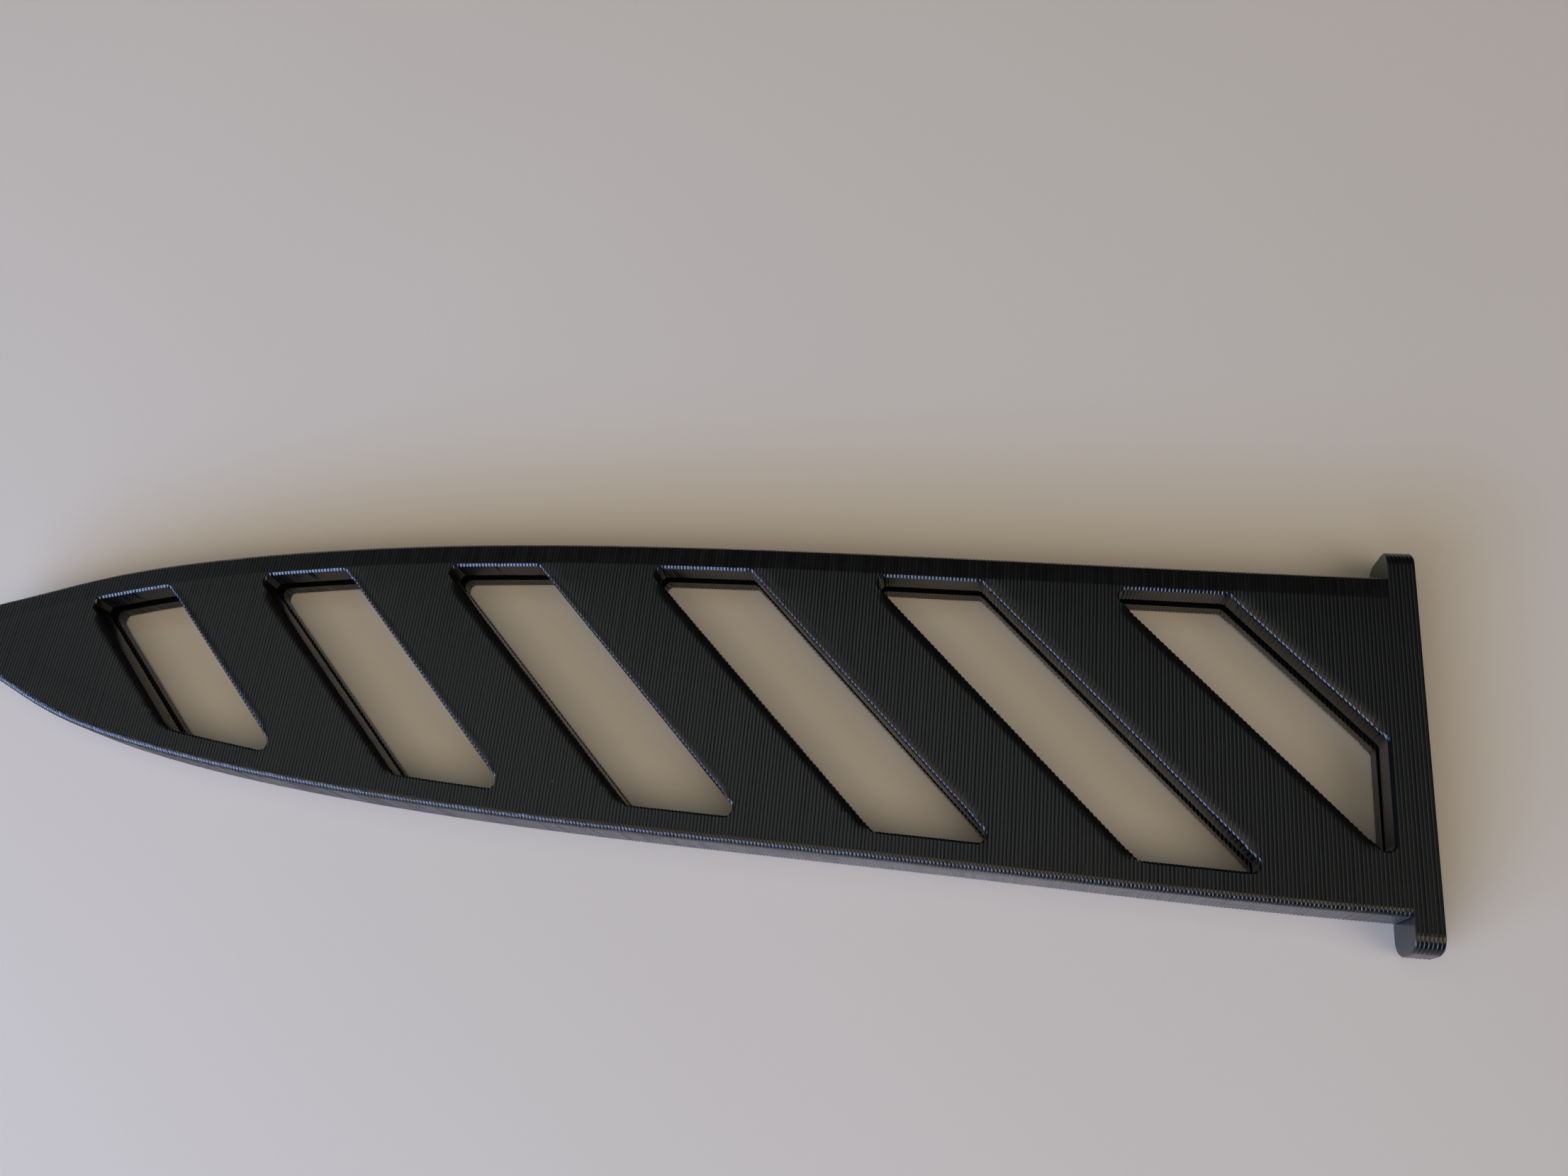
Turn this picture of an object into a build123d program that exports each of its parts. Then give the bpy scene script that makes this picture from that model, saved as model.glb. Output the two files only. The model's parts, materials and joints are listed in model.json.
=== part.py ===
from build123d import *
import math
import os

# Guard for a kitchen knife's blade: two flat plates, joined along both rims and at the tip,
# hold the blade between them in a flat pocket that opens through a flange at the mouth.
# Slanted windows run through both plates.
# +X points to the mouth, +Y to the blade's spine and +Z up from the table.
# The origin is on the table, halfway along the guard and on the mouth's centre line.
# All lengths are in millimetres, and all angles in degrees.

# The whole guard
overall_length = 130.0
mouth_height = 27.0          # across the body where it meets the flange
front_plate = 2.3            # upper plate
blade_gap = 1.2              # pocket between the plates
back_plate = 1.5             # lower plate, on the table
side_wall = 1.25             # solid wall round the pocket
outer_edge_radius = 0.6
overrun = 1.0                # how far each cut runs past what it cuts

# The rounded tip
tip_radius = 3.2
tip_rise = 2.0               # tip above the mouth's centre line
spine_slope_at_tip = 23.0
edge_slope_at_tip = 29.0

# The frame round the windows
rim_width = 2.25             # between the outline and the windows
mouth_bar_width = 0.9        # between the last window and the flange
nose_length = 8.0            # closed nose in front of the tip panel

# The spine rim's upper face falls off gently towards its outer edge
land_drop = 0.12
land_margin = 0.1            # left flat between the land and the windows' bevels

# The flange round the mouth
flange_thickness = 2.1
flange_overhang = 2.5        # beyond the body, at the spine and at the edge
flange_end_radius = 1.4

# The windows, as many as the guard's length takes
window_width = 9.4           # along the guard
window_pitch = 19.85
window_slant = 45.0          # from the guard's length
first_window_from_tip = 18.15  # to the first window's side, on the centre line
window_corner_radius = 0.6
window_edge_bevel = 0.2
root_margin = 0.2            # straight side left on each strut's root, in the frame

# Outline points as shares of the way from the flange to the tip's arc, along the guard, and from
# the arc's end out to the flange's end of the curve, across it
spine_shares = ((0.417, 1.047), (0.654, 0.942), (0.809, 0.703), (0.912, 0.403), (0.9845, 0.075))
edge_shares = (
    (0.292, 0.926), (0.550, 0.843), (0.704, 0.732), (0.838, 0.5515), (0.931, 0.307), (0.977, 0.105)
)
# Places along the spine as shares of its curve, each with its share of the land's drop
land_shares = ((0.0, 1.0), (0.2, 1.0), (0.4, 1.0), (0.6, 0.9), (0.8, 0.6), (1.0, 0.2))
inset_steps = 12             # points along each curve that follows the outline inside it
corner_share = 0.3           # most that a window's corner radius takes of its shortest side

# Places worked out from the sizes above
guard_thickness = back_plate + blade_gap + front_plate
front_plate_z = back_plate + blade_gap
mouth_x = overall_length / 2
shoulder_x = mouth_x - flange_thickness
window_limit_x = shoulder_x - mouth_bar_width
tip_x = tip_radius - overall_length / 2
nose_x = nose_length - overall_length / 2
first_window_x = first_window_from_tip - overall_length / 2
slant_run_share = 1 / math.tan(math.radians(window_slant))
window_run = window_limit_x - window_width / 2 - first_window_x
window_count = 1 + int(window_run // window_pitch)
land_width = rim_width - window_edge_bevel - land_margin
flange_height = mouth_height + 2 * flange_overhang

# The frame's members take in the windows' rounded corners, so each strut starts where its sides
# are straight: past the tangent point of the windows' sharper corners
sharp_corner_share = 1 + math.cos(math.radians(window_slant))
root_depth = window_corner_radius * sharp_corner_share + root_margin


def side_curve(shares, side, slope):
    # Outline from the flange to the rounded tip: side is 1 at the spine and -1 at the edge
    angle = math.radians(slope)
    direction = Vector(-math.cos(angle), -side * math.sin(angle))
    outward = Vector(-math.sin(angle), side * math.cos(angle))
    start = Vector(shoulder_x, side * mouth_height / 2)
    end = Vector(tip_x, tip_rise) + outward * tip_radius
    middle = []
    for along, across in shares:
        middle.append((start.X + (end.X - start.X) * along, end.Y + (start.Y - end.Y) * across))
    return Spline(start, *middle, end, tangents=(Vector(-1, 0), direction))


spine_curve = side_curve(spine_shares, 1, spine_slope_at_tip)
edge_curve = side_curve(edge_shares, -1, edge_slope_at_tip)


def inset_curve(side, inset):
    # Curve that follows the spine or the edge at a steady distance inside the outline
    curve = spine_curve if side == 1 else edge_curve
    points = []
    for step in range(inset_steps + 1):
        tangent = curve % (step / inset_steps)
        inward = Vector(-side * tangent.Y, side * tangent.X)
        points.append(curve @ (step / inset_steps) + inward * inset)
    return Spline(*points, tangents=(curve % 0, curve % 1))


def outline_face(inset, end_x):
    # Face inside the outline by a steady inset, from the tip straight out to end_x at the mouth
    spine = inset_curve(1, inset) if inset else spine_curve
    edge = inset_curve(-1, inset) if inset else edge_curve
    nose = ThreePointArc(spine @ 1, (tip_x - tip_radius + inset, tip_rise), edge @ 1)
    spine_corner = (end_x, (spine @ 0).Y)
    edge_corner = (end_x, (edge @ 0).Y)
    lines = [spine, nose, edge, Line(spine_corner, edge_corner)]
    if end_x > shoulder_x:
        lines.append(Line(spine @ 0, spine_corner))
        lines.append(Line(edge @ 0, edge_corner))
    return make_face(lines)


def inner_side_face(side, inset):
    # Everything on the inner side of one inset curve, as far as the far side of the mouth
    curve = inset_curve(side, inset)
    start, end = curve @ 0, curve @ 1
    far_y = -side * mouth_height
    rest = Polyline(start, (start.X, far_y), (end.X, far_y), end)
    return make_face([curve, rest])


def span_face(low_x, high_x, low_y, high_y):
    return make_face(Polyline(
        (low_x, low_y), (high_x, low_y), (high_x, high_y), (low_x, high_y), close=True
    ))


def slanted_face(low_x, high_x):
    # Slanted band between two places on the centre line
    run = mouth_height * slant_run_share
    return make_face(Polyline(
        (low_x + run, -mouth_height), (high_x + run, -mouth_height),
        (high_x - run, mouth_height), (low_x - run, mouth_height), close=True
    ))


def block(face, low_z, high_z):
    return Pos(0, 0, low_z) * extrude(face, high_z - low_z)


def window_x(number):
    return first_window_x + number * window_pitch


def window_cutter(number):
    field = outline_face(rim_width, shoulder_x)
    left = window_x(number)
    pane = slanted_face(left, left + window_width) & field
    pane = pane & span_face(-mouth_x, window_limit_x, -mouth_height, mouth_height)
    shortest_side = min(edge.length for edge in pane.edges())
    corner_radius = min(window_corner_radius, corner_share * shortest_side)
    cutter = block(pane, -overrun, guard_thickness + overrun)
    return fillet(cutter.edges().filter_by(Axis.Z), corner_radius)


def land_cutter():
    # Wedge that lies along the spine: its lower face is the gently falling land
    sections = []
    for share, drop_share in land_shares:
        tangent = spine_curve % share
        inward = Vector(0, 0, 1).cross(tangent)
        start = spine_curve @ share
        if share == 0:
            start = start - tangent * overrun
        drop = land_drop * drop_share * (land_width + overrun) / land_width
        wedge = make_face(Polyline(
            (land_width, guard_thickness), (-overrun, guard_thickness - drop),
            (-overrun, guard_thickness + overrun), close=True
        ))
        sections.append(Plane(origin=start, x_dir=inward, z_dir=tangent) * wedge)
    return loft(sections)


def rim_edges(solid, along):
    # Edges of the lowest and highest flat faces: the outer ones, or the windows'
    flats = solid.faces().sort_by(Axis.Z)
    picked = ShapeList()
    for face in (flats[0], flats[-1]):
        if along == "outline":
            picked += face.outer_wire().edges().filter_by(Axis.Y, reverse=True)
        else:
            for wire in face.inner_wires():
                picked += wire.edges()
    return picked


def whole_guard():
    body = extrude(outline_face(0, shoulder_x), guard_thickness)
    body = fillet(rim_edges(body, "outline"), outer_edge_radius)
    body -= land_cutter()
    for number in range(window_count):
        body -= window_cutter(number)
    body = chamfer(rim_edges(body, "windows"), window_edge_bevel)
    flange = Box(flange_thickness, flange_height, guard_thickness)
    flange = fillet(flange.edges().filter_by(Axis.X), flange_end_radius)
    body += Pos((shoulder_x + mouth_x) / 2, 0, guard_thickness / 2) * flange
    pocket = block(outline_face(side_wall, mouth_x + overrun), back_plate, front_plate_z)
    return body - pocket


def plate_regions():
    # Plan of each member of a plate: the frame's two rims and mouth bar, and what it holds
    root_inset = rim_width + root_depth
    inside = inner_side_face(1, root_inset) & inner_side_face(-1, root_inset)
    inside = inside & span_face(nose_x, shoulder_x, -mouth_height, mouth_height)
    bar_x = window_limit_x - root_depth
    field = inside & span_face(nose_x, bar_x, -mouth_height, mouth_height)
    reach_x = mouth_x + overrun
    above = span_face(-reach_x, shoulder_x, tip_rise, mouth_height)
    below = span_face(-reach_x, shoulder_x, -mouth_height, tip_rise)
    regions = {
        "spine_rim": above - inside,
        "edge_rim": below - inside,
        "mouth_bar": inside & span_face(bar_x, shoulder_x, -mouth_height, mouth_height),
    }
    middles = [window_x(number) + window_width / 2 for number in range(window_count)]
    far_x = overall_length
    regions["tip_panel"] = field & slanted_face(-far_x, middles[0])
    for number in range(1, window_count):
        regions[f"strut_{number}"] = field & slanted_face(middles[number - 1], middles[number])
    regions["mouth_gusset"] = field & slanted_face(middles[-1], far_x)
    return regions


def guard_members():
    # The guard cut into its members, each a closed solid that meets its neighbours face to face
    guard = whole_guard()
    reach_x = mouth_x + overrun
    reach_y = flange_height
    top_z = guard_thickness + overrun
    members = {}
    for name, face in plate_regions().items():
        members[f"front_{name}"] = guard & block(face, front_plate_z, top_z)
        members[f"back_{name}"] = guard & block(face, -overrun, back_plate)
    body_above = span_face(-reach_x, shoulder_x, tip_rise, reach_y)
    body_below = span_face(-reach_x, shoulder_x, -reach_y, tip_rise)
    members["spine_wall"] = guard & block(body_above, back_plate, front_plate_z)
    members["edge_wall"] = guard & block(body_below, back_plate, front_plate_z)
    flange_span = span_face(shoulder_x, reach_x, -reach_y, reach_y)
    flange_above = span_face(shoulder_x, reach_x, 0, reach_y)
    flange_below = span_face(shoulder_x, reach_x, -reach_y, 0)
    members["flange_front_bar"] = guard & block(flange_span, front_plate_z, top_z)
    members["flange_back_bar"] = guard & block(flange_span, -overrun, back_plate)
    members["flange_spine_block"] = guard & block(flange_above, back_plate, front_plate_z)
    members["flange_edge_block"] = guard & block(flange_below, back_plate, front_plate_z)
    return guard, members


guard, members = guard_members()
os.makedirs("parts", exist_ok=True)
for name, member in members.items():
    export_step(member, f"parts/{name}.step")
    print(f"{name}: {len(member.solids())} solid, {member.volume:.2f} cubic mm")
print(f"whole guard {guard.volume:.2f}, members together {sum(m.volume for m in members.values()):.2f}")
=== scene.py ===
import bpy
import bmesh
import json
import math
import random
from mathutils import Matrix, Vector
from mathutils.bvhtree import BVHTree

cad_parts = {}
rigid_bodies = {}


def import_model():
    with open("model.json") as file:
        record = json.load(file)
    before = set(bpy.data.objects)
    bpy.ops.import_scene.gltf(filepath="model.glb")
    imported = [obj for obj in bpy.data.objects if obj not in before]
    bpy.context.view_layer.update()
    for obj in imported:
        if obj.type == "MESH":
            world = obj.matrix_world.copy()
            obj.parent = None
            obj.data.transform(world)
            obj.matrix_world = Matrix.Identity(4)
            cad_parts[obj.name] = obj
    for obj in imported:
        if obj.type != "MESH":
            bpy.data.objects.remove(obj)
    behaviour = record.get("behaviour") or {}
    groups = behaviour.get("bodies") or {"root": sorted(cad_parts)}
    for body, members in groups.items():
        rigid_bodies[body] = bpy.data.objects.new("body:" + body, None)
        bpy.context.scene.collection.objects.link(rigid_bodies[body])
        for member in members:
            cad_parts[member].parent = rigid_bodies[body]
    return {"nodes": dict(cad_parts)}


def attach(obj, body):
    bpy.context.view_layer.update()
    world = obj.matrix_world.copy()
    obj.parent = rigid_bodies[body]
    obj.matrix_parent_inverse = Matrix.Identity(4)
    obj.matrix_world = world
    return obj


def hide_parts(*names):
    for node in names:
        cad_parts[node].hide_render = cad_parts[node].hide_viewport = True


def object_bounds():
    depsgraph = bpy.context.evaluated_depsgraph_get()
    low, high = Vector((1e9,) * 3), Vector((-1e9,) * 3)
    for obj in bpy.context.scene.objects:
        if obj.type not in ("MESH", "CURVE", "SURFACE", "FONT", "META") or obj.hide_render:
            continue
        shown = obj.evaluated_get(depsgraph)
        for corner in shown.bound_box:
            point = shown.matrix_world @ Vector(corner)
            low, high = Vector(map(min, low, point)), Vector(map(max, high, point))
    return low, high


mm = 0.001
weld = 1e-7                    # m, points closer than this are one point

for leftover in list(bpy.data.objects):
    bpy.data.objects.remove(leftover)
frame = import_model()
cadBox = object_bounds()
cadNodes = frame["nodes"]
lowZ = cadBox[0].z
highZ = cadBox[1].z
mouthX = cadBox[1].x
print("frame loaded,", len(cadNodes), "members")


cameraView = {
    "place": (32.197, -28.521, 103.763),   # mm
    "right": (0.98405, 0.10339, -0.14477),
    "up": (-0.04283, 0.92752, 0.37131),
    "lens": 28.49,                         # mm
    "sensor": 36.0,                        # mm wide
    "nearest": 5,                          # mm, nothing nearer is drawn
}

camera = bpy.data.objects.new("camera", bpy.data.cameras.new("camera"))
bpy.context.scene.collection.objects.link(camera)
camera.data.sensor_width = cameraView["sensor"]
camera.data.lens = cameraView["lens"]
camera.data.clip_start = cameraView["nearest"] * mm
right = Vector(cameraView["right"]).normalized()
up = Vector(cameraView["up"]).normalized()
turn = Matrix((right, up, right.cross(up))).transposed().to_4x4()
camera.matrix_world = Matrix.Translation(Vector(cameraView["place"]) * mm) @ turn
bpy.context.scene.camera = camera
print("camera set")


def linearColour(hexCode):
    # sRGB hex to the linear colour that Blender's sockets take
    channels = [int(hexCode[i:i + 2], 16) / 255 for i in (1, 3, 5)]
    linear = [c / 12.92 if c <= 0.04045 else ((c + 0.055) / 1.055) ** 2.4 for c in channels]
    return tuple(linear) + (1.0,)


def addNode(tree, kind, settings=None, links=None):
    # settings go on the node or on its input sockets, links are input: output socket
    node = tree.nodes.new(kind)
    for name, value in (settings or {}).items():
        if isinstance(name, int) or name in node.inputs:
            node.inputs[name].default_value = value
        else:
            setattr(node, name, value)
    for name, socket in (links or {}).items():
        tree.links.new(socket, node.inputs[name])
    return node


def newMaterial(name):
    material = bpy.data.materials.new(name)
    material.use_nodes = True
    tree = material.node_tree
    tree.nodes.clear()
    return material, tree


# Black PLA, laid down by a filament printer: satin gloss that breaks up along every layer,
# a near-black body with hardly any colour, fine grain in the skin of each bead
blackPla = {
    "colour": "#060707",
    "paleColour": "#0c0d0d",   # where the skin of a bead is duller
    "roughness": (0.14, 0.25),
    "ior": 1.46,
    "sheen": 0.10,             # the skin catches light where it is seen along its surface
    "sheenRoughness": 0.30,
    "sheenColour": "#aac4fb",
    "grain": 0.05,             # mm, grain of the skin: too fine to show, it only softens the gloss
    "grainDepth": 0.004,       # mm
    "blotch": 1.6,             # mm, slow change of gloss along a bead
    "layerShare": 0.45,        # of the change in gloss, what goes from layer to layer
    "noiseRange": (0.2, 0.8),  # of the mixed noise, spread over the roughness
    "layerPitch": 0.3,         # mm, one printed layer, in the material and in the mesh
    "seamDepth": 0.017,        # mm, narrow crease in the bottom of the groove between two layers
    "seamPower": 4.0,          # the higher, the narrower the crease
    "seamHair": 0.001,         # layers, so that a face on a seam is in one layer
}

pitch = blackPla["layerPitch"] * mm


def blackPlaMaterial(look):
    material, tree = newMaterial("black PLA, filament printed")
    place = addNode(tree, "ShaderNodeTexCoord").outputs["Object"]
    grain = addNode(
        tree, "ShaderNodeTexNoise",
        {"Scale": 1 / (look["grain"] * mm), "Detail": 2.0}, {"Vector": place})
    blotch = addNode(
        tree, "ShaderNodeTexNoise",
        {"Scale": 1 / (look["blotch"] * mm), "Detail": 3.0}, {"Vector": place})
    # layers counted from the mouth, as in the mesh
    axes = addNode(tree, "ShaderNodeSeparateXYZ", {}, {"Vector": place})
    layer = addNode(
        tree, "ShaderNodeMath",
        {"operation": "MULTIPLY_ADD", 1: -1 / pitch, 2: mouthX / pitch + look["seamHair"]},
        {0: axes.outputs["X"]})
    # one value a layer, so some layers are duller than others
    whole = addNode(tree, "ShaderNodeMath", {"operation": "FLOOR"}, {0: layer.outputs[0]})
    dull = addNode(
        tree, "ShaderNodeTexWhiteNoise", {"noise_dimensions": "1D"}, {"W": whole.outputs[0]})
    byLayer = addNode(
        tree, "ShaderNodeMath",
        {"operation": "MULTIPLY", 1: look["layerShare"]}, {0: dull.outputs["Value"]})
    mixed = addNode(
        tree, "ShaderNodeMath",
        {"operation": "MULTIPLY_ADD", 1: 1 - look["layerShare"]},
        {0: blotch.outputs[0], 2: byLayer.outputs[0]})
    lowNoise, highNoise = look["noiseRange"]
    lowRough, highRough = look["roughness"]
    rough = addNode(
        tree, "ShaderNodeMapRange",
        {"From Min": lowNoise, "From Max": highNoise, "To Min": lowRough, "To Max": highRough},
        {"Value": mixed.outputs[0]})
    colour = addNode(
        tree, "ShaderNodeMix",
        {"data_type": "RGBA", 6: linearColour(look["colour"]), 7: linearColour(look["paleColour"])},
        {"Factor": mixed.outputs[0]})
    # 1 on a seam between layers, 0 in a layer's middle
    part = addNode(tree, "ShaderNodeMath", {"operation": "FRACT"}, {0: layer.outputs[0]})
    across = addNode(
        tree, "ShaderNodeMath",
        {"operation": "MULTIPLY_ADD", 1: 2.0, 2: -1.0}, {0: part.outputs[0]})
    away = addNode(tree, "ShaderNodeMath", {"operation": "ABSOLUTE"}, {0: across.outputs[0]})
    seam = addNode(
        tree, "ShaderNodeMath", {"operation": "POWER", 1: look["seamPower"]}, {0: away.outputs[0]})
    height = addNode(
        tree, "ShaderNodeMath",
        {"operation": "MULTIPLY_ADD", 1: -look["seamDepth"] / look["grainDepth"]},
        {0: seam.outputs[0], 2: grain.outputs[0]})
    bump = addNode(
        tree, "ShaderNodeBump",
        {"Strength": 1.0, "Distance": look["grainDepth"] * mm}, {"Height": height.outputs[0]})
    shader = addNode(tree, "ShaderNodeBsdfPrincipled", {
        "IOR": look["ior"], "Sheen Weight": look["sheen"],
        "Sheen Roughness": look["sheenRoughness"],
        "Sheen Tint": linearColour(look["sheenColour"]),
    }, {
        "Base Color": colour.outputs[2], "Roughness": rough.outputs["Result"],
        "Normal": bump.outputs["Normal"],
    })
    addNode(tree, "ShaderNodeOutputMaterial", {}, {"Surface": shader.outputs[0]})
    return material


# Matt laminate of the floor, plain and pale: no gloss to speak of, faintly cloudy
paleLaminate = {
    "colour": "#d0c9bf",
    "roughness": 0.55,
    "specular": 0.2,
    "blotch": 60.0,            # mm
    "blotchColour": "#ccc5bb",
}


def paleLaminateMaterial(look):
    material, tree = newMaterial("pale matt laminate")
    place = addNode(tree, "ShaderNodeTexCoord").outputs["Object"]
    blotch = addNode(
        tree, "ShaderNodeTexNoise",
        {"Scale": 1 / (look["blotch"] * mm), "Detail": 1.0}, {"Vector": place})
    colour = addNode(
        tree, "ShaderNodeMix",
        {"data_type": "RGBA", 6: linearColour(look["colour"]),
         7: linearColour(look["blotchColour"])},
        {"Factor": blotch.outputs[0]})
    shader = addNode(
        tree, "ShaderNodeBsdfPrincipled",
        {"Roughness": look["roughness"], "Specular IOR Level": look["specular"]},
        {"Base Color": colour.outputs[2]})
    addNode(tree, "ShaderNodeOutputMaterial", {}, {"Surface": shader.outputs[0]})
    return material


plasticMaterial = blackPlaMaterial(blackPla)
floorMaterial = paleLaminateMaterial(paleLaminate)
print("materials made")


# Layers are stacked from the mouth to the tip, each blackPla's layerPitch thick
printLayers = {
    "groove": (0.018, 0.028),  # mm, depth of the groove between two layers
    "ridge": (0.0, 0.003),     # mm, how far a layer's middle stays inside the nominal face
    "slantDepth": 6.0,         # times as deep on upright faces that slant across the layers
    "slantAngle": 45,          # degrees, the slant from which slantDepth counts in full
    "sideDepth": 2.0,          # times as deep on the other upright faces
    "softWidth": 1.0,          # mm, soft rounding along the windows' slanted sides, in plan
    "softDepth": 0.45,         # mm, and in height
    "softRows": (0.1, 0.35, 0.6, 1.0),   # mm from a slanted side, rows of points that carry it
    "softMargin": 0.2,         # mm, how far past the rounding the faces are still cut into rows
    "softEnd": 1.2,            # mm, it fades out over this length at both ends of the side
    "shortestSide": 4.0,       # mm, a shorter slanted side has no soft rounding
    "seed": 7,                 # of the layers' depths
    "landRise": 0.97,          # share of a face's normal that points up, on the flats and the land
    "landAngle": 0.6,          # degrees, from which an edge between two such faces is crisp
    "flatRise": 0.99,          # the same share on the flats alone
    "borderAngle": 20,         # degrees, from which an edge of a flat is crisp
    "smoothAngle": 40,         # degrees, from which any other edge is crisp
    "flatAngle": 0.05,         # degrees, triangles that differ by less become one face
    "stretch": 24,             # cuts, a member is sliced in stretches of this many
}

layerCount = int((mouthX - cadBox[0].x) / pitch) + 2
dice = random.Random(printLayers["seed"])
grooveDepth = [dice.uniform(*printLayers["groove"]) * mm for _ in range(layerCount + 1)]
ridgeDepth = [dice.uniform(*printLayers["ridge"]) * mm for _ in range(layerCount + 1)]


def layerInset(x):
    # full depth in the grooves between layers, least in a layer's middle
    hair = 1e-4                # layers, so that a point on a seam is in one layer
    layers = max(0.0, (mouthX - x) / pitch)
    layer = int(layers + hair)
    share = abs(layers - layer - 0.5) * 2
    groove = grooveDepth[round(layers)]
    return ridgeDepth[layer] + (groove - ridgeDepth[layer]) * min(1.0, share)


skinPoints = []
skinTriangles = []
for node in cadNodes.values():
    first = len(skinPoints)
    skinPoints += [vertex.co.copy() for vertex in node.data.vertices]
    skinTriangles += [[first + corner for corner in face.vertices] for face in node.data.polygons]
skin = BVHTree.FromPolygons(skinPoints, skinTriangles)


def slantedSides():
    # Each slanted side of a window in plan: where it starts and ends, and the way into the plastic
    level = 0.01               # how far the wall's normal may be off
    sameLine = 0.05 * mm
    found = {}
    for corners in skinTriangles:
        a, b, c = [skinPoints[corner] for corner in corners]
        normal = (b - a).cross(c - a).normalized()
        if abs(normal.z) < level and abs(normal.x - normal.y) < level:
            key = round((a.x + a.y) / sameLine)
            inward = Vector((-normal.x, -normal.y))
            found.setdefault(key, (inward, []))[1].extend([a.xy, b.xy, c.xy])
    sides = []
    for inward, points in found.values():
        start = min(points, key=lambda point: point.x)
        end = max(points, key=lambda point: point.x)
        if (end - start).length > printLayers["shortestSide"] * mm:
            sides.append((start, end, inward))
    return sides


windowSides = slantedSides()
print("slanted sides", len(windowSides))


def nearSide(point, start, end):
    # on the upper or the lower face, beside this slanted side
    reach = printLayers["softDepth"] * mm
    if lowZ + reach < point.z < highZ - reach:
        return False
    run = end - start
    share = min(1.0, max(0.0, (point.xy - start).dot(run) / run.length_squared))
    beside = (printLayers["softWidth"] + printLayers["softMargin"]) * mm
    return (point.xy - start - run * share).length < beside


def softened(point):
    # Height after the soft rounding along the slanted sides. It is worked out from plan distance,
    # so members that touch come out alike
    width = printLayers["softWidth"] * mm
    behind = 0.05 * mm         # a point on the side itself may lie this far behind it
    place = point.xy
    drop = 0.0
    for start, end, inward in windowSides:
        away = (place - start).dot(inward)
        if -behind < away < width:
            along = (place - start).dot((end - start).normalized())
            fade = min(along, (end - start).length - along) / (printLayers["softEnd"] * mm)
            fade = min(1.0, max(0.0, fade))
            near = 1 - max(0.0, away) / width
            curve = 1 - math.sqrt(1 - near ** 2)
            drop = max(drop, fade * printLayers["softDepth"] * mm * curve)
    return min(highZ - drop, max(lowZ + drop, point.z))


def facing(point):
    # Way out of the whole print at a point, zero inside it: each face counts by the angle it
    # fills there, so where two members meet, their touching faces cancel
    touching = 0.02 * mm
    lift = 0.001               # mm, so that no face is seen edge on
    total = Vector()
    for place, normal, index, _ in skin.find_nearest_range(point, touching):
        eye = place + normal * lift * mm
        a, b, c = [skinPoints[corner] - eye for corner in skinTriangles[index]]
        la, lb, lc = a.length, b.length, c.length
        bottom = la * lb * lc + a.dot(b) * lc + b.dot(c) * la + c.dot(a) * lb
        total += normal * abs(2 * math.atan2(a.dot(b.cross(c)), bottom))
    return total


def cutAt(bm, parts, places):
    # the middle place first and then each side on its own, so a cut meets little of the mesh
    if not places or not parts:
        return
    middle = len(places) // 2
    x = places[middle]
    cut = bmesh.ops.bisect_plane(
        bm, geom=parts, dist=weld, plane_co=(x, 0, 0), plane_no=(1, 0, 0))
    left = [part for part in parts if part.is_valid]
    parts = dict.fromkeys(left + cut["geom"] + cut["geom_cut"])
    towardsMouth = []
    towardsTip = []
    for part in parts:
        if isinstance(part, bmesh.types.BMVert):
            continue
        ends = [corner.co.x for corner in part.verts]
        if max(ends) > x + weld:
            towardsMouth.append(part)
        if min(ends) < x - weld:
            towardsTip.append(part)
    cutAt(bm, towardsMouth, places[:middle])
    cutAt(bm, towardsTip, places[middle + 1:])


def cutIntoLayers(mesh, places):
    # A member takes hundreds of cuts, too many for the edit-mode operator, and a cut takes as long
    # as its mesh is large: so it is first cut into stretches, and each is sliced on its own
    stretchEnds = places[::printLayers["stretch"]]
    bm = bmesh.new()
    bm.from_mesh(mesh)
    cutAt(bm, bm.edges[:] + bm.faces[:], stretchEnds)
    bm.to_mesh(mesh)
    bm.free()
    whole = bmesh.new()
    stretchMesh = bpy.data.meshes.new("stretch")
    ends = [math.inf] + stretchEnds + [-math.inf]
    for high, low in zip(ends, ends[1:]):
        bm = bmesh.new()
        bm.from_mesh(mesh)
        outside = [
            face for face in bm.faces
            if not low + weld < face.calc_center_median().x <= high + weld]
        bmesh.ops.delete(bm, geom=outside, context="FACES")
        cutAt(bm, bm.edges[:] + bm.faces[:], [x for x in places if low < x < high])
        bm.to_mesh(stretchMesh)
        bm.free()
        whole.from_mesh(stretchMesh)
    bpy.data.meshes.remove(stretchMesh)
    bmesh.ops.remove_doubles(whole, verts=whole.verts, dist=weld)
    return whole


def cutSoftRows(bm):
    # rows of points along the slanted sides, for the soft rounding to bend
    for start, end, inward in windowSides:
        reach = [(vertex.co.xy - start).dot(inward) for vertex in bm.verts]
        for row in printLayers["softRows"]:
            if not min(reach) < row * mm < max(reach):
                continue
            faces = [
                face for face in bm.faces
                if any(nearSide(corner.co, start, end) for corner in face.verts)]
            edges = {edge for face in faces for edge in face.edges}
            place = start + inward * row * mm
            bmesh.ops.bisect_plane(
                bm, geom=faces + list(edges), dist=weld,
                plane_co=(place.x, place.y, 0), plane_no=(inward.x, inward.y, 0))


def markBorders(bm):
    # the land falls off by a few degrees only, and keeps a crisp border on both sides
    for edge in bm.edges:
        rises = [face.normal.z for face in edge.link_faces]
        angle = math.degrees(edge.calc_face_angle(0))
        onLand = min(rises) > printLayers["landRise"] and angle > printLayers["landAngle"]
        onFlat = max(rises) > printLayers["flatRise"] and angle > printLayers["borderAngle"]
        if onLand or onFlat:
            edge.smooth = False


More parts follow.
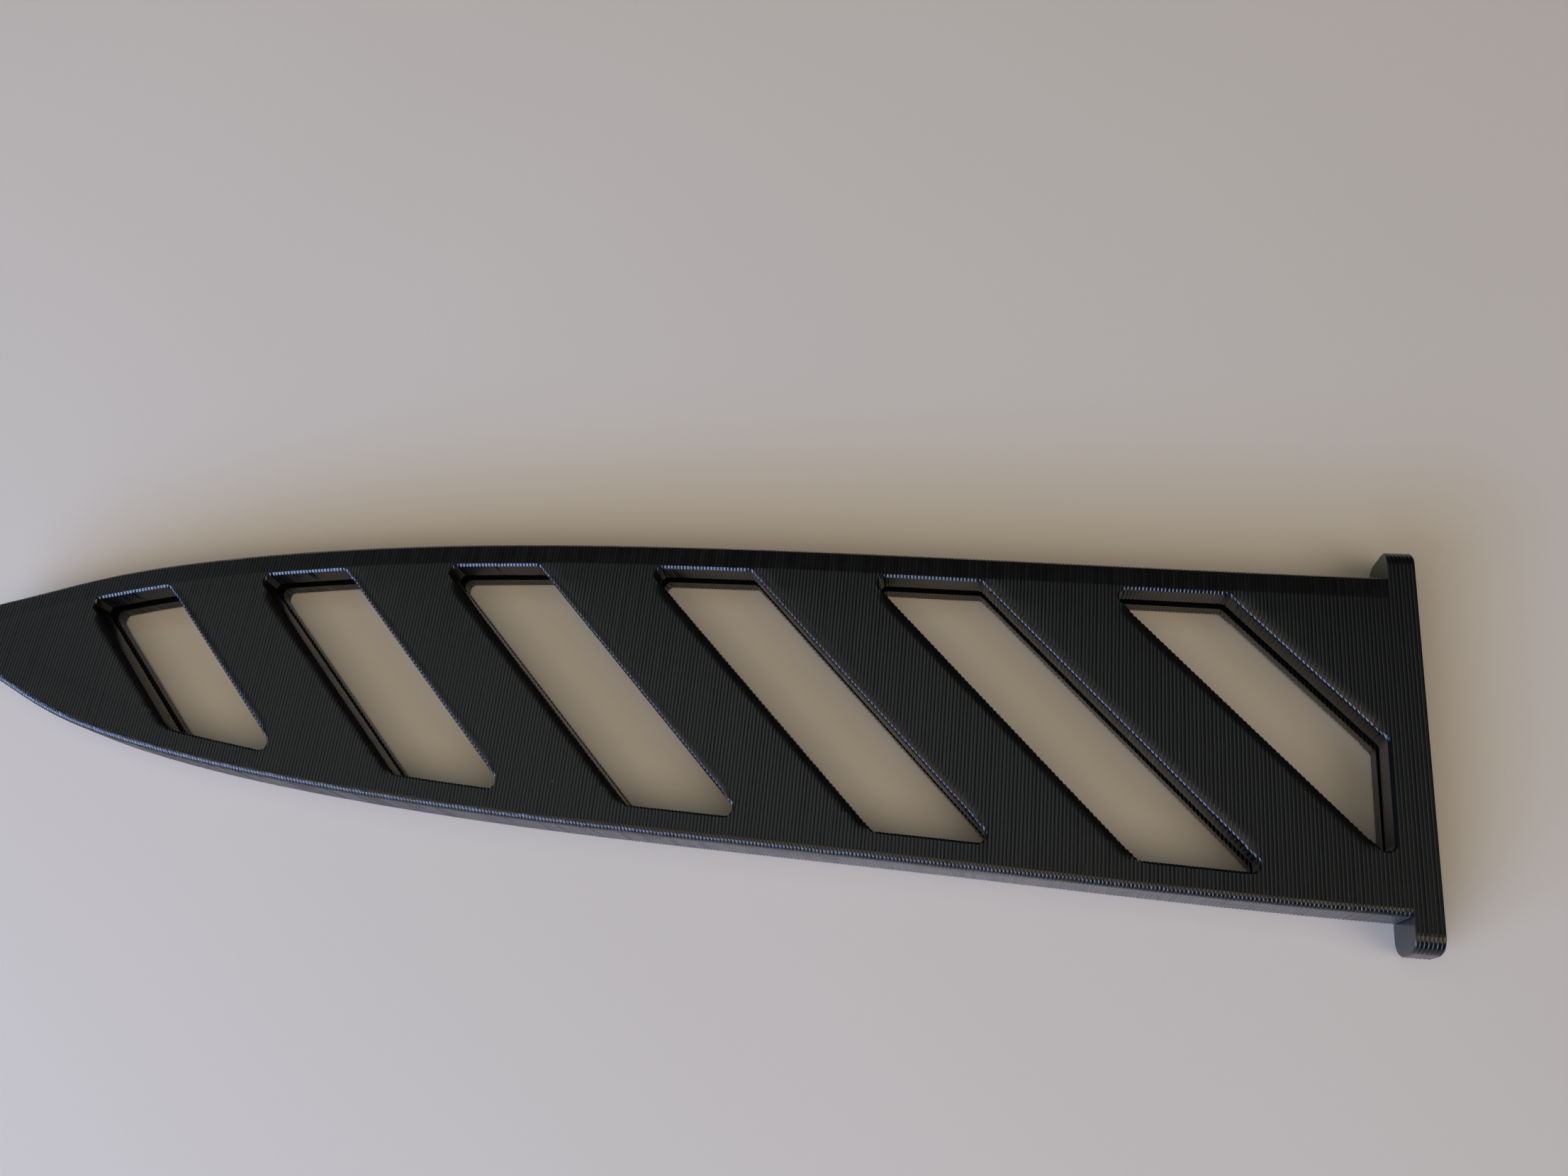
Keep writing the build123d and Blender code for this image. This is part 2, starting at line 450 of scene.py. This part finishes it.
def markSeams(bm):
    # an edge that lies in the groove between two layers is crisp
    onSeam = 1e-3              # layers
    for edge in bm.edges:
        layers = [(mouthX - end.co.x) / pitch for end in edge.verts]
        whole = all(abs(layer - round(layer)) < onSeam for layer in layers)
        if whole and abs(layers[0] - layers[1]) < onSeam:
            edge.smooth = False


def pressLayers(bm):
    # moves the skin in by each layer's depth, and leaves what is inside the print or looks along it
    hidden = 0.4               # a shorter way out belongs to a point inside the print
    alongPrint = 0.3           # share of the way out that goes across the guard
    fullSlant = math.sin(math.radians(printLayers["slantAngle"]))
    for vertex in bm.verts:
        out = facing(vertex.co)
        if out.length < hidden:
            continue
        out.normalize()
        across = math.hypot(out.y, out.z)
        if across < alongPrint:
            continue
        slant = min(1.0, abs(out.x) / fullSlant)
        inset = layerInset(vertex.co.x)
        sideways = printLayers["sideDepth"] * (1 - slant) + printLayers["slantDepth"] * slant
        vertex.co.z = softened(vertex.co)
        vertex.co -= Vector((0, out.y * sideways, out.z)) / across * inset


def sliceAtLayers(mesh):
    bm = bmesh.new()
    bm.from_mesh(mesh)
    cutSoftRows(bm)
    markBorders(bm)
    lowX = min(vertex.co.x for vertex in bm.verts)
    highX = max(vertex.co.x for vertex in bm.verts)
    step = pitch / 2           # a cut in every groove and one on every ridge
    places = [mouthX - number * step for number in range(int((mouthX - lowX) / step) + 1)]
    places = [x for x in places if lowX + weld < x < highX - weld]
    bm.to_mesh(mesh)
    bm.free()
    bm = cutIntoLayers(mesh, places)
    markSeams(bm)
    pressLayers(bm)
    bm.to_mesh(mesh)
    bm.free()


def printedMember(name):
    node = cadNodes[name]
    piece = node.copy()
    piece.data = node.data.copy()
    piece.name = "printed_" + name
    bpy.context.scene.collection.objects.link(piece)
    bpy.ops.object.select_all(action="DESELECT")
    bpy.context.view_layer.objects.active = piece
    piece.select_set(True)
    # normals that came with the file would stay behind on the cut mesh
    bpy.ops.mesh.customdata_custom_splitnormals_clear()
    bpy.ops.object.mode_set(mode="EDIT")
    bpy.ops.mesh.select_all(action="SELECT")
    bpy.ops.mesh.remove_doubles(threshold=weld)
    bpy.ops.mesh.dissolve_limited(angle_limit=math.radians(printLayers["flatAngle"]))
    bpy.ops.object.mode_set(mode="OBJECT")
    sliceAtLayers(piece.data)
    bpy.ops.object.shade_smooth_by_angle(
        angle=math.radians(printLayers["smoothAngle"]), keep_sharp_edges=True)
    flats = piece.modifiers.new("flats stay flat", "WEIGHTED_NORMAL")
    flats.keep_sharp = True
    bpy.ops.object.modifier_apply(modifier=flats.name)
    piece.data.materials.clear()
    piece.data.materials.append(plasticMaterial)
    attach(piece, "root")
    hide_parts(name)
    return piece


total = 0
for name in sorted(cadNodes):
    piece = printedMember(name)
    total += len(piece.data.polygons)
    print("printed", name, len(piece.data.polygons), "faces")
print("print finished,", total, "faces")


floorLook = {"size": 12.0, "drop": 0.01}   # m across, mm below the guard

bpy.ops.object.select_all(action="DESELECT")
bpy.ops.mesh.primitive_plane_add(
    size=floorLook["size"], location=(0, 0, -floorLook["drop"] * mm))
floor = bpy.context.object
floor.name = "floor"
floor.data.materials.append(floorMaterial)

studioLights = {
    # name: place in m, what it faces, size in m, power in W, colour
    "daylight": ((-0.247, -0.396, 0.20), (0, 0, 0), (0.60, 0.38), 3.1, "#cfdfff"),
    "sky": ((-0.268, -0.383, 0.147), (0, 0, 0), (0.40, 0.07), 1.6, "#8ab2ff"),
    "lowSky": ((-0.23, -0.075, 0.014), (0, -0.006, 0), (0.16, 0.022), 0.25, "#94b8ff"),
    "overheadBack": ((-0.45, 0.22, 0.90), (-0.45, 0.22, 0), (1.1, 0.36), 0.94, "#f3fbf8"),
    "overheadFront": ((-0.35, -0.45, 0.90), (-0.35, -0.45, 0), (1.5, 0.8), 3.3, "#ffeacb"),
    "overheadMouth": ((0.35, 0.22, 0.90), (0.35, 0.22, 0), (0.5, 0.36), 0.10, "#f3fbf8"),
}
# angle is how wide the sun is in degrees, wide here so that its shadows are soft
softSun = {"from": (0.60, -0.30, 0.74), "angle": 40, "strength": 0.90, "colour": "#fff1dc"}
# strength is for the light it gives, seen for what the camera sees of it
worldLook = {"colour": "#ffedd2", "strength": 0.04, "seen": 0.60}

for name, (place, target, size, power, colour) in studioLights.items():
    lamp = bpy.data.lights.new(name, "AREA")
    lamp.shape = "RECTANGLE"
    lamp.size, lamp.size_y = size
    lamp.energy = power
    lamp.color = linearColour(colour)[:3]
    lampObject = bpy.data.objects.new(name, lamp)
    lampObject.visible_camera = False
    lampObject.location = place
    aim = Vector(target) - Vector(place)
    lampObject.rotation_euler = aim.to_track_quat("-Z", "Y").to_euler()
    bpy.context.scene.collection.objects.link(lampObject)

sun = bpy.data.objects.new("soft sun", bpy.data.lights.new("soft sun", "SUN"))
sun.data.angle = math.radians(softSun["angle"])
sun.data.energy = softSun["strength"]
sun.data.color = linearColour(softSun["colour"])[:3]
sun.rotation_euler = Vector(softSun["from"]).to_track_quat("Z", "Y").to_euler()
bpy.context.scene.collection.objects.link(sun)

world = bpy.data.worlds.new("studio")
world.use_nodes = True
background = world.node_tree.nodes["Background"]
background.inputs["Color"].default_value = linearColour(worldLook["colour"])
path = addNode(world.node_tree, "ShaderNodeLightPath")
strength = addNode(
    world.node_tree, "ShaderNodeMapRange",
    {"To Min": worldLook["strength"], "To Max": worldLook["seen"]},
    {"Value": path.outputs["Is Camera Ray"]})
world.node_tree.links.new(strength.outputs["Result"], background.inputs["Strength"])
bpy.context.scene.world = world
bpy.context.scene.view_settings.view_transform = "Standard"
print("floor and lights set")
